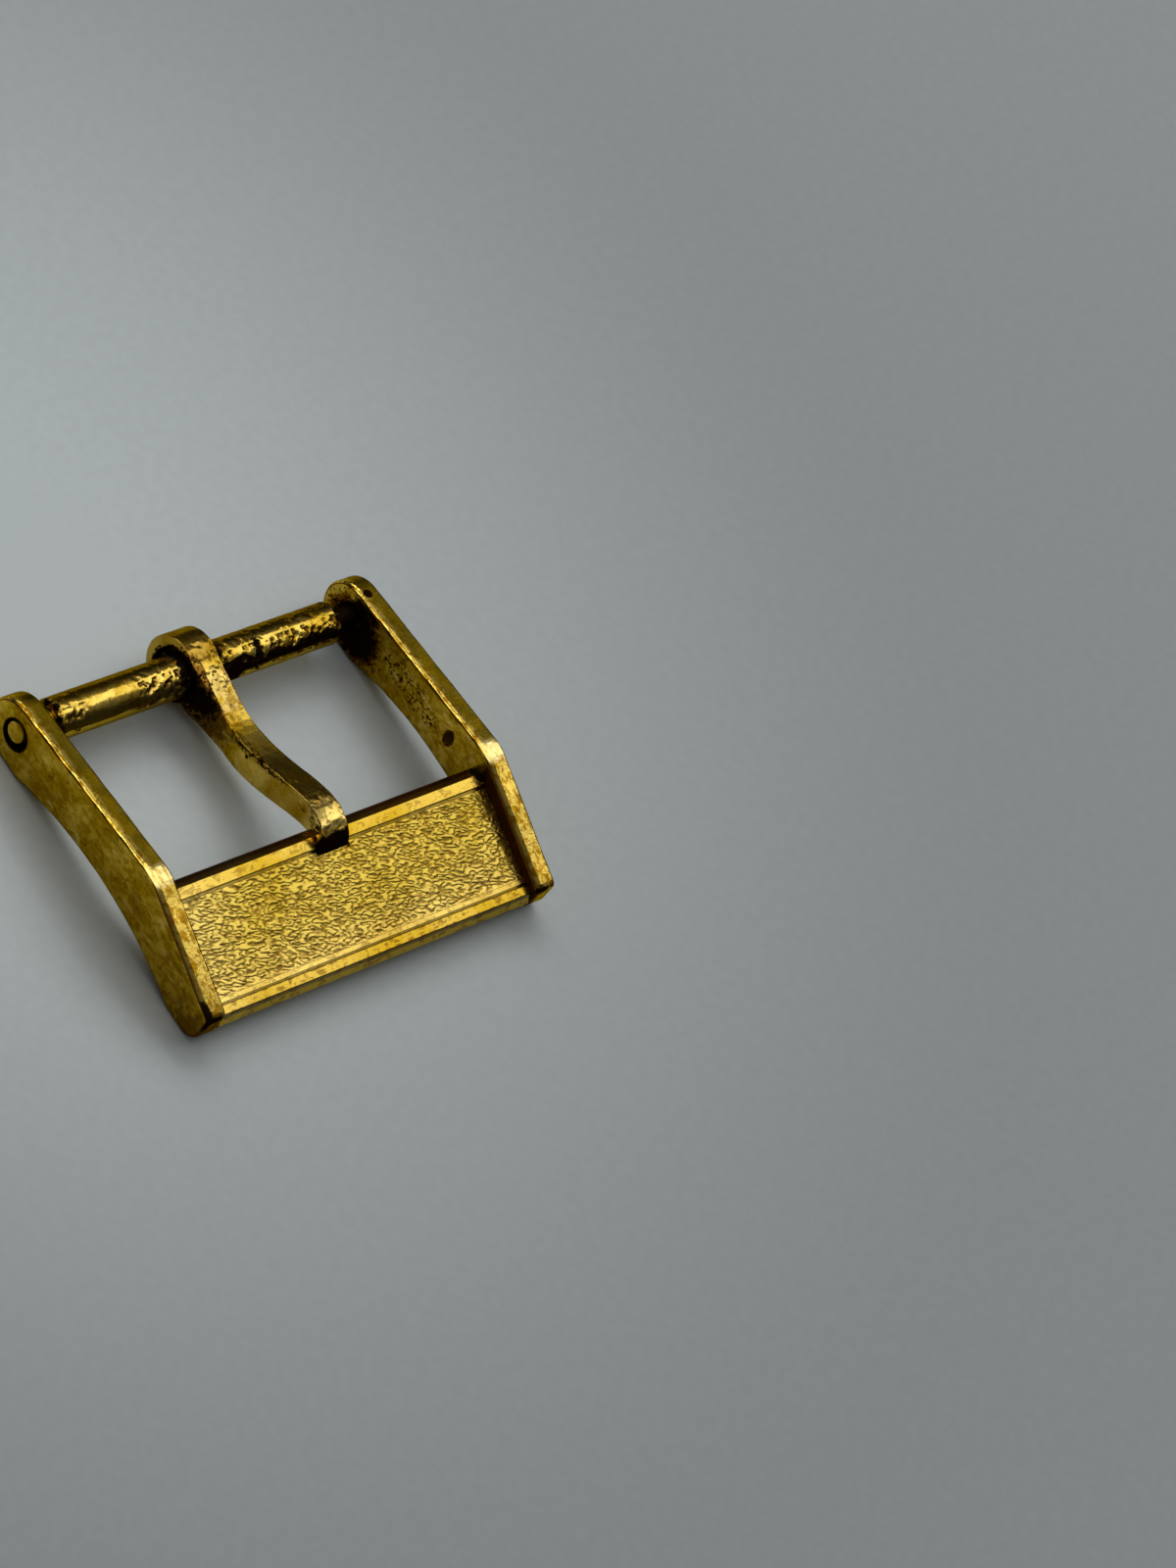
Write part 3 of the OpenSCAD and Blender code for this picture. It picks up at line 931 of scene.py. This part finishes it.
def nose_shade(n, x):
    """Painted shade: black under a cheek's front corner. x is the cheek's middle."""
    return ragged(n, n.distance((x, FRONT_Y, 1.5), (0.45, 0.3, 0.18)), 0.9, 0.2, 0.2, 0.5)


def ear_dirt_and_shade(n):
    """The right cheek's inner face: black dirt round the end of the bar and in its dents, brown spots and
    pits, and a dark foot beside the plate. The edge of its outer face is brown too."""
    x = n.axis("X")
    inside = n.between(x, INNER_X + 0.16, INNER_X + 0.08)
    close = n.distance((INNER_X, BAR_Y - 0.55, 1.25), (1.0, 1.4, 1.1))
    hole = n.off_axis(BAR_Y - HOLE_FORWARD, BAR_Z)
    dimple = n.distance(DIMPLE_AT, (1, 0.9, 1.4))
    spot = n.distance((*SPOT_AT, SPOT_DIRT_Z))
    pits = n.noise(0.11, 2, stretch=(1, 1.6, 1), twist=0.8, at=(4, 4, 4))
    where = n.distance((INNER_X, BAR_Y - 3.9, 2.0), (1, 1.9, 0.55))
    pitted = n.both(inside, n.between(pits, 0.53, 0.57), n.between(where, 1.2, 0.8))
    fall = radians(FALL)
    below_top = n.along((0, sin(fall), -cos(fall)), (0, BEND_Y, CHEEK_HIGH.z))
    foot = n.both(n.between(n.axis("Y"), PLATE_Y + 0.1, PLATE_Y - 0.1), n.between(below_top, 0.12, 0.2),
                  inside)
    rim = n.within(x, CHEEK_HIGH.x - 0.12, CHEEK_HIGH.x - 0.07, CHEEK_HIGH.x - 0.03, CHEEK_HIGH.x - 0.01)
    # The black under the front corner is painted shade.
    black = n.either(n.both(ragged(n, close, 0.95, 0.12, 0.25, 0.3), inside), n.between(spot, 0.25, 0.19),
                     n.between(hole, EAR_HOLE_R + 0.08, EAR_HOLE_R + 0.02),
                     n.both(n.between(dimple, 0.28, 0.2), 0.7), nose_shade(n, CHEEK_LOW.x + 0.3),
                     n.both(pitted, 0.6), n.both(foot, 0.75))
    brown = n.either(n.both(ragged(n, close, 1.15, 0.12, 0.2, 0.4), inside),
                     ragged(n, dimple, 0.31, 0.03, 0.1, 0.1), pitted, n.both(rim, 0.8), foot)
    return black, brown, 0.0


def corner_stain_and_shade(n):
    """The left cheek is browner towards its lower front corner, with a black streak up that corner and a
    black ring in its ear hole."""
    corner = n.distance((CHEEK_EDGE, FRONT_Y, 0.3), (1, 1.8, 1.4))
    ring = n.off_axis(BAR_Y - HOLE_FORWARD, BAR_Z)
    away = n.minus(n.axis("X"), CHEEK_EDGE)
    streak = n.distance((CHEEK_EDGE + 0.12, FRONT_Y + 0.2, 1.8), (0.2, 0.6, 1))
    # The black under the front corner is painted shade.
    black = n.either(n.between(ring, EAR_HOLE_R + 0.12, EAR_HOLE_R + 0.04),
                     n.both(ragged(n, streak, 0.95, 0.15, 0.15, 0.2), n.between(away, 0.02, 0.04)),
                     nose_shade(n, -INNER_X - 0.5))
    return black, n.both(ragged(n, corner, 1.0, 0.6, 0.4, 0.6), 0.8), 0.0


def tears(n, back):
    """Cracks along the tongue's torn left edge: a long one, short ones across it, and winding ones."""
    under = n.stored("under")
    left = n.between(n.axis("X"), -0.45, -0.52)
    depth = n.plus(n.sway(0.5, 0.3, 3, at=(3, 1, 1)), 0.1)
    long_one = n.both(n.between(n.math("ABSOLUTE", n.minus(under, depth)), 0.07, 0.03),
                      n.within(back, -6.4, -5.9, -3.6, -3.0), left)
    comb = n.math("SINE", n.both(n.plus(back, n.both(under, 0.5)), 30.0))
    comb = n.both(n.between(comb, 0.3, 0.8), n.within(back, -4.0, -3.8, -3.1, -2.9),
                  n.within(under, 0.1, 0.14, 0.25, 0.4), left)
    winding = n.both(curls(n, 0.45, 0.035), n.between(n.stored("torn"), 0.2, 0.5))
    return n.either(long_one, n.both(comb, 0.7), winding)


def eye_dirt_and_light(n):
    """Black round the tongue's eye where it meets the bar, in two pits, in the knuckle's hollows and along
    its left edge, and black painted shade under the tip. Brown round these and on the rise, and painted
    highlights on the eye and the tip."""
    x = n.axis("X")
    back = n.minus(n.axis("Y"), BAR_Y)
    height = n.axis("Z")
    rough_z = n.plus(height, n.sway(0.5, 0.25, 3))
    ring = n.off_axis(BAR_Y + HOLE_BACK, BAR_Z - HOLE_DROP)
    front = n.distance((-0.6, BAR_Y - 1.15, 1.55), (0.7, 1.15, 1.0))
    low = n.either(n.between(rough_z, 2.2, 1.95), n.between(x, -0.48, -0.54))
    eye = n.either(ragged(n, ring, EYE_HOLE_R + 0.08, 0.04, 0.2, 0.14),
                   ragged(n, front, 0.85, 0.2, 0.22, 0.7))
    # Painted shade: black under the tip's front end.
    tip = n.both(n.between(rough_z, 3.22, 3.08), n.between(back, -PLATE_REACH - 0.1, -PLATE_REACH - 0.3))
    pit = n.distance((-0.03, BAR_Y - 1.69, 2.45), (1, 1, 3))
    other_pit = n.distance((-0.61, BAR_Y - 4.17, 1.9), (3, 1, 1))
    hollows = n.noise(0.5, 1, stretch=(1, 1.6, 1), twist=1.2, at=(2, 2, 9))
    hollows = n.both(n.between(hollows, 0.54, 0.6), n.between(back, -7.1, -7.5), 0.45)
    black = n.either(n.both(eye, low), tip, n.between(pit, 0.1, 0.07), n.between(other_pit, 0.1, 0.07),
                     tears(n, back), hollows)
    rise = n.both(n.within(back, -PLATE_REACH + 0.2, -7.5, -6.0, -4.2), 0.5)
    rubbed = n.noise(0.32, 2, twist=0.8, at=(2, 6, 1))
    rubbed = n.both(n.between(rubbed, 0.52, 0.6), n.between(x, -0.5, 0.1), n.between(back, -2.6, -2.2))
    crown = n.both(n.between(back, -0.45, -0.2), 0.5)
    torn = n.both(n.between(n.stored("torn"), 0.05, 0.4), 0.5)
    brown = n.either(n.both(ragged(n, front, 1.75, 0.5, 0.3, 0.7), low, 0.9),
                     n.both(n.stored("pressed"), 0.7), rise, n.both(rubbed, 0.7), crown, torn)
    # Painted highlights: pale patches on the neck behind the eye and at the knuckle's end.
    painted_band = n.both(n.within(back, -2.35, -2.25, -0.9, -0.5), n.between(x, -0.7, -0.5))
    end = n.both(n.between(back, -7.2, -7.5), n.between(height, 3.15, 3.25))
    patchy = n.between(n.noise(0.35, 2, twist=0.8, at=(4, 1, 3)), 0.62, 0.5)
    return black, brown, n.both(n.either(painted_band, end), patchy, 0.35)


def bar_dirt_and_light(n):
    """Dirt at the bar's ends, beside the tongue and in a blot. A painted dark reflection as a black band
    along its front, painted shade as brown on its rear top and lower side, and a pale painted highlight low
    on its lower side.
    """
    x = n.axis("X")
    back = n.minus(n.axis("Y"), BAR_Y)
    up = n.minus(n.axis("Z"), BAR_Z)
    pressed = n.stored("pressed")
    ragged_x = n.plus(x, n.sway(1.2, 0.3, 4, at=(7, 7, 1)))
    left = n.between(ragged_x, TUBE_LOW.x + 0.12, TUBE_LOW.x)
    right = n.between(ragged_x, TUBE_HIGH.x - 0.25, TUBE_HIGH.x - 0.1)
    middle = n.math("ABSOLUTE", n.plus(ragged_x, EYE_SHIFT))
    blot = n.distance((2.58, BAR_Y - 0.45, BAR_Z + 0.6), (0.26, 1.0, 0.8))
    corner = n.distance((1.3, BAR_Y - 0.75, BAR_Z + 0.2), (0.7, 1, 0.6))
    right_half = n.between(x, -0.5, 0.5)
    # Painted dark reflection: a black band along the bar's front, above its lower side.
    wander = n.sway(1.0, 0.4, 3, stretch=(2, 1, 1), at=(3, 3, 3))
    painted_band = n.both(n.between(n.plus(up, n.both(wander, 0.7)), 0.7, 0.62),
                  n.between(n.plus(up, n.both(wander, 0.2)), 0.22, 0.3),
                  n.between(back, -0.1, -0.25), n.blend(right_half, 0.85, 1.0))
    black = n.either(n.between(middle, 1.2, 1.0), left, right, ragged(n, blot, 0.8, 0.12, 0.15, 0.5),
                     painted_band, ragged(n, corner, 0.85, 0.15, 0.2, 0.4), n.between(pressed, 0.85, 1.3))
    # Painted shade: brown on the lower side and on the rear top.
    under = n.both(n.between(up, 0.25, 0.15), n.blend(right_half, 0.4, 0.1))
    top = n.both(n.between(back, -0.05, 0.25), 0.6)
    # Painted highlight: a pale share low on the lower side.
    return black, n.either(n.both(pressed, 0.8), under, top), n.both(n.between(up, 0.2, 0.1), 0.6)


def tip_dirt(n):
    """The right pivot is black with dirt, apart from its end, and brown all over."""
    return n.between(n.axis("X"), PIVOT_HIGH.x - 0.1, PIVOT_HIGH.x - 0.3), 0.5, 0.0


def seam_dirt(n):
    """Dark seams where the plate meets the cheeks, wider at the left one, and a blot at the right one's
    rear end."""
    x = n.plus(n.axis("X"), n.sway(0.2, 0.25, 3))
    right = n.between(x, INNER_X - 0.04, INNER_X - 0.01)
    left = n.between(x, 0.12 - INNER_X, 0.02 - INNER_X)
    blot = n.distance((INNER_X - 0.05, PLATE_Y + 0.05, PLATE_H - 0.1), (1, 1.2, 1.5))
    return n.either(right, left, n.between(blot, 0.36, 0.28))


def plate_gold():
    """The plate's ridges and grooves are told apart by their place down its slope."""
    n = Nodes("plate_gold_grained")
    slope = radians(PLATE_SLOPE)
    start = (0, PLATE_Y, PLATE_H)
    down = n.along((0, -cos(slope), -sin(slope)), start)
    up = n.along((0, -sin(slope), cos(slope)), start)
    cloud = n.noise(2.2, 3, twist=0.5)
    speck = n.noise(0.3, 3, twist=0.6, at=(9, 2, 4))
    streak = n.noise(0.12, 3, stretch=(5, 1, 1), twist=0.3, at=(2, 9, 5))
    hollow = n.both(n.stored("pressed"), 0.95)
    field = n.within(down, FIELD_FROM - 0.02, FIELD_FROM + 0.1, LEDGE_FROM - 0.8, LEDGE_FROM)
    # Painted highlight: the plate is paler over the front of its field and at its left end.
    painted_highlight = n.either(n.within(down, 2.4, 4.4, LEDGE_TO, LEDGE_TO + 0.02),
                    n.between(n.axis("X"), 3 - INNER_X, 0.5 - INNER_X))
    rear = n.between(down, 0.5, 0.44)
    front = n.between(down, RIDGE_FROM, RIDGE_FROM + 0.02)
    ridges = n.either(n.both(front, 0.45), n.both(rear, 0.35))
    # Painted shade: the front face is coated olive.
    under = n.both(n.between(down, PLATE_L, PLATE_L + 0.02), n.between(up, -0.12, -0.17))
    brow = n.both(n.between(down, PLATE_L - 0.06, PLATE_L - 0.03), n.between(up, -0.17, -0.12))
    bevel = n.both(n.between(down, -0.03, -0.06), n.blend(n.between(down, -0.22, -0.15), 1.0, 0.6))
    spots = n.both(n.between(speck, 0.46, 0.6), n.between(streak, 0.4, 0.55), n.blend(front, 0.5, 0.7))
    grooves = n.either(n.within(down, RIDGE_W - 0.02, RIDGE_W, FIELD_FROM, FIELD_FROM + 0.02),
                       n.within(down, LEDGE_TO - 0.01, LEDGE_TO, RIDGE_FROM, RIDGE_FROM + 0.01))
    seams = seam_dirt(n)
    colour = n.coat(n.mix(n.between(cloud, 0.32, 0.72), BRIGHT_GOLD, DEEP_GOLD),
                    (field, 0.6, FIELD_GOLD), (painted_highlight, 0.2, CREAM), (under, 0.85, OLIVE),
                    (ridges, 1.0, DEEP_GOLD), (hollow, 1.0, WRINKLE_BROWN),
                    (n.either(spots, n.both(bevel, 0.9)), 1.0, BROWN),
                    (n.either(grooves, brow), 0.7, DIRT_AND_SHADE), (seams, 1.0, DIRT_AND_SHADE))
    n.surface(colour, n.blend(seams, n.blend(hollow, 0.2, 0.4), 0.6))
    n.bump(n.noise(0.06, 2, at=(2, 2, 2)), SCRATCH_D)
    return n.material


def spring_steel():
    n = Nodes("spring_steel_drawn")
    streaks = n.noise(0.05, 3, stretch=(4, 1, 1))
    n.surface(n.mix(streaks, (0.36, 0.36, 0.37, 1), (0.55, 0.55, 0.56, 1)), n.blend(streaks, 0.3, 0.5))
    n.bump(streaks, 0.002)
    return n.material


# The table, the lights and the camera

TABLE_TONE = (0.67, 0.73, 0.73, 1)
BLACK = (0, 0, 0, 1)
LAMP_DISTANCE = 0.5


def stand():
    """A pale table with a painted light falloff: a little darker far from the buckle."""
    bpy.ops.mesh.primitive_plane_add(size=2, location=(0, 0, 0))
    table = bpy.context.object
    table.name = "table"
    n = Nodes("pale_table")
    mottle = n.between(n.noise(0.5, 3), 0.3, 0.7)
    # Painted light falloff: the table darkens away from a point to the rear left of the buckle.
    far = n.between(n.distance((-7, 13, 0)), 0, 48)
    painted_light_falloff = n.both(n.blend(far, 1.03, 0.58), n.blend(mottle, 0.98, 1.02))
    colour = n.mix(painted_light_falloff, BLACK, TABLE_TONE)
    n.surface(colour, 0.65, 0.0)
    n.shader.inputs["Specular IOR Level"].default_value = 0.15
    table.data.materials.append(n.material)


def aim(thing, target):
    thing.rotation_euler = (Vector(target) - thing.location).to_track_quat("-Z", "Y").to_euler()


def lamp(name, toward, size, brightness, on_table=True, mirrored=True):
    """A soft lamp that shines at the buckle from a direction, as bright as white paper times brightness.
    It lights the table, or is mirrored in the metal, or both."""
    made = bpy.data.objects.new(name, bpy.data.lights.new(name, "AREA"))
    made.data.shape = "RECTANGLE"
    made.data.size, made.data.size_y = size
    made.data.energy = brightness * pi * size[0] * size[1]
    made.visible_diffuse = on_table
    made.visible_glossy = mirrored
    made.location = Vector(toward).normalized() * LAMP_DISTANCE
    bpy.context.scene.collection.objects.link(made)
    aim(made, (0, 0, 0))


def lights():
    """A dark room with a bright ceiling and windows. It is darkest at table height."""
    world = bpy.data.worlds.new("studio")
    world.use_nodes = True
    tree = world.node_tree
    direction = tree.nodes.new("ShaderNodeTexCoord")
    split = tree.nodes.new("ShaderNodeSeparateXYZ")
    ramp = tree.nodes.new("ShaderNodeValToRGB")
    tree.links.new(direction.outputs["Generated"], split.inputs[0])
    tree.links.new(split.outputs["Z"], ramp.inputs[0])
    tree.links.new(ramp.outputs[0], tree.nodes["Background"].inputs["Color"])
    ramp.color_ramp.elements[0].position = 0.4
    ramp.color_ramp.elements[0].color = (0.025, 0.025, 0.025, 1)
    ramp.color_ramp.elements[1].position = 0.7
    ramp.color_ramp.elements[1].color = (0.2, 0.2, 0.2, 1)
    bpy.context.scene.world = world
    lamp("front_window", (0.665, 0.02, 0.745), (0.31, 0.28), 1.25)
    lamp("high_window", (0.5, 0.5, 0.7), (0.25, 0.25), 3.0, mirrored=False)
    lamp("near_window", (-0.76, -0.2, 0.62), (0.12, 0.1), 2.4, on_table=False)
    lamp("left_window", (-0.66, 0.4, 0.64), (0.24, 0.2), 2.4, on_table=False)
    lamp("back_window", (0.15, 0.75, 0.62), (0.26, 0.26), 2.0)
    lamp("ceiling", (0.12, -0.02, 0.99), (0.5, 0.3), 1.3, on_table=False)
    lamp("fill", (-0.1, -0.1, 0.99), (0.5, 0.5), 0.22, mirrored=False)


CAMERA_AT = (-161.30, -75.18 + BAR_Y, 186.50)
CAMERA_TURN = (37.304, -27.688, -38.120)
LENS = 157.5
SENSOR = 36.0


def camera():
    view = bpy.data.objects.new("camera", bpy.data.cameras.new("camera"))
    bpy.context.scene.collection.objects.link(view)
    view.location = Vector(CAMERA_AT) * MM
    view.rotation_euler = [radians(a) for a in CAMERA_TURN]
    view.data.sensor_fit = "AUTO"
    view.data.sensor_width = SENSOR
    view.data.lens = LENS
    view.data.clip_start = 0.01
    view.data.clip_end = 5.0
    bpy.context.scene.camera = view


camera()
left_gold = worn_gold("cheek_gold_worn", 1.0, dirt=corner_stain_and_shade, face=CHEEK_EDGE)
right_gold = worn_gold("cheek_gold_dirty", 1.0, dirt=ear_dirt_and_shade, face=INNER_X)
dress(cheek(-1), "left_cheek_worn", "frame", "left_cheek", left_gold)
dress(cheek(1), "right_cheek_worn", "frame", "right_cheek", right_gold)
dress(front_plate(), "front_plate_grained", "frame", "front_plate", plate_gold())
tongue_gold = worn_gold("tongue_gold_worn", 0.35, dirt=eye_dirt_and_light, blots=0.4)
dress(tongue(), "tongue_worn", "tongue", "tongue", tongue_gold)
bar_gold = worn_gold("bar_gold_pitted", 0.3, 0.12, bar_dirt_and_light)
dress(bar_tube(), "bar_tube_pitted", "bar", "bar_tube", bar_gold)
pivot_gold = worn_gold("pivot_gold_dull", 1.0, 0.4)
dress(pivot(-1), "left_pivot_turned", "left_pivot", "left_pivot", pivot_gold)
pivot_dirty = worn_gold("pivot_gold_dirty", 1.0, 0.4, tip_dirt)
dress(pivot(1), "right_pivot_turned", "right_pivot", "right_pivot", pivot_dirty)
spring = frame["nodes"]["bar_spring"]
spring.data.materials.clear()
spring.data.materials.append(spring_steel())
stand()
lights()
bpy.context.scene.view_settings.view_transform = "Standard"
